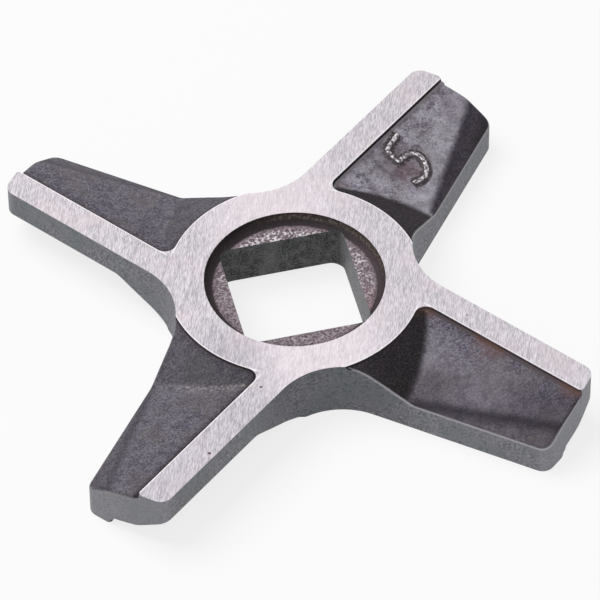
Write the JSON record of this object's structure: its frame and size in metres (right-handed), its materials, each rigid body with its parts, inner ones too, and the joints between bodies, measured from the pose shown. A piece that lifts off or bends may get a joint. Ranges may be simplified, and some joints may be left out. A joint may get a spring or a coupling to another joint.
{
  "type": "meat grinder knife",
  "caption": "Cross-shaped meat grinder knife: flat ground lands on each face shear meat against the hole plate, and a square hole fits the grinder's screw.",
  "frame": {"origin": "on the axis, at the lower ground face", "axes": "+Z along the axis to the upper ground face, the one whose pocket carries the size numeral. +X and +Y across the flats of the drive square. The arms point midway between X and Y."},
  "size_m": [0.0376, 0.0376, 0.0047],
  "materials": {
    "cast_steel": "ground flat on both faces, as cast elsewhere"
  },
  "bodies": {
    "root": {"grinder_knife": "cast_steel"}
  },
  "joints": []
}
